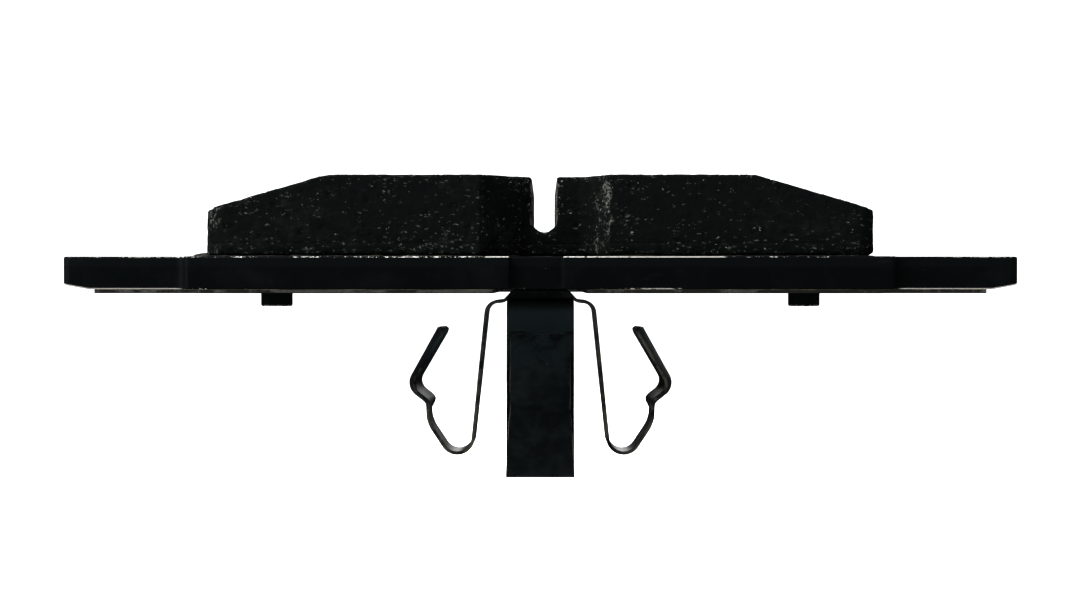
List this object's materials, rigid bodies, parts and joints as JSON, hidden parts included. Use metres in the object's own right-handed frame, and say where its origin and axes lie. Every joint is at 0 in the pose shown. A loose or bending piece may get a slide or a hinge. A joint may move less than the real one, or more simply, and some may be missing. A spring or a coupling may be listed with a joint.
{
  "type": "brake pad",
  "caption": "Disc brake pad: eared steel backing plate, chamfered and slotted friction block, shim, and a sprung clip with folded fingers that snaps into a hollow caliper piston.",
  "frame": {"origin": "on the axis of the piston clip, at the back face of the backing plate", "axes": "+Z out of the friction face towards the disc, +X along the length of the pad, -Y towards the straight edge of the plate"},
  "size_m": [0.1576, 0.066, 0.0513],
  "materials": {
    "plate_coating": "semi-gloss black coating, worn bright on the edges",
    "bonding": "cured brown adhesive",
    "underlayer": "dense dark composite",
    "friction": "coarse dark friction compound with pale and metallic specks",
    "shim_adhesive": "thin pale adhesive",
    "shim_steel": "sheet steel",
    "shim_rubber": "fine matt black rubber coating",
    "spring_steel": "blackened spring steel with a satin sheen",
    "rivet_steel": "plain steel"
  },
  "bodies": {
    "pad": {"backing_plate": "plate_coating", "bonding_film": "bonding", "underlayer": "underlayer", "friction_block": "friction", "shim_adhesive": "shim_adhesive", "shim_core": "shim_steel", "shim_rubber": "shim_rubber", "clip_base": "spring_steel", "clip_rivet": "rivet_steel"},
    "left_spring": {"left_finger": "spring_steel"},
    "right_spring": {"right_finger": "spring_steel"},
    "front_spring": {"front_finger": "spring_steel"}
  },
  "joints": [
    {"name": "left_finger_flex", "type": "hinge", "parent": "pad", "child": "left_spring", "pos_m": [-0.00753, 0, -0.00228], "axis": [0, -1, 0], "range_deg": [0, 9], "stiffness_Nm_per_rad": 1.5},
    {"name": "right_finger_flex", "type": "hinge", "parent": "pad", "child": "right_spring", "pos_m": [0.00753, 0, -0.00228], "axis": [0, 1, 0], "range_deg": [0, 9], "stiffness_Nm_per_rad": 1.5},
    {"name": "front_finger_flex", "type": "hinge", "parent": "pad", "child": "front_spring", "pos_m": [0, -0.00751, -0.00228], "axis": [1, 0, 0], "range_deg": [0, 9], "stiffness_Nm_per_rad": 1.5}
  ]
}
